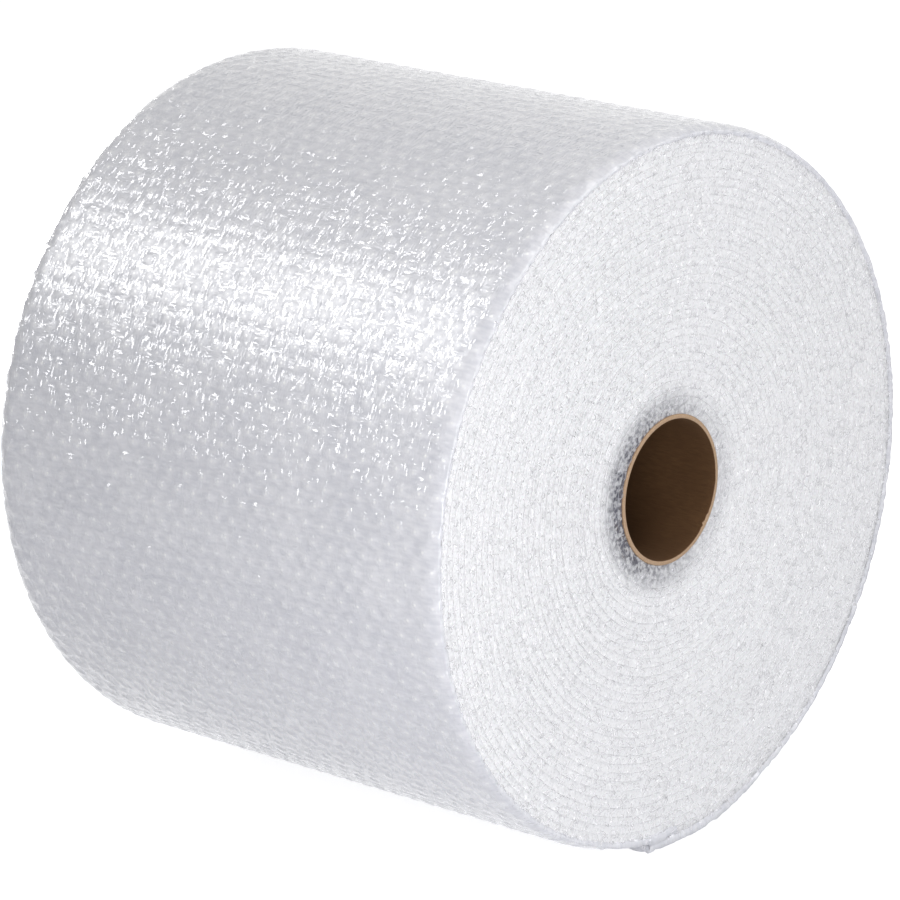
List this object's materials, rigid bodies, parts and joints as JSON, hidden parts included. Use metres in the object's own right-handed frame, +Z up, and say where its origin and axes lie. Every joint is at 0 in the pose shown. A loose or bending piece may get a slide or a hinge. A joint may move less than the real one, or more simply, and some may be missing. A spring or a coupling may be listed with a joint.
{
  "type": "bubble wrap roll",
  "caption": "Roll of small-bubble cushioning film wound on a paper tube, lying on its side with a small flat under it.",
  "frame": {"origin": "middle of the roll's footprint, on the surface that it rests on", "axes": "+X along the core's bore, towards the end that the picture shows, +Z up, the side that the picture shows faces -Y"},
  "size_m": [0.3048, 0.3844, 0.3857],
  "materials": {
    "bubble_film": "clear polyethylene film, glossy, milky white where many turns lie over each other",
    "paperboard": "kraft paperboard, matt, wound in a spiral, with a cut fibrous end"
  },
  "bodies": {
    "root": {"bubble_web": "bubble_film", "core_tube": "paperboard"}
  },
  "joints": []
}
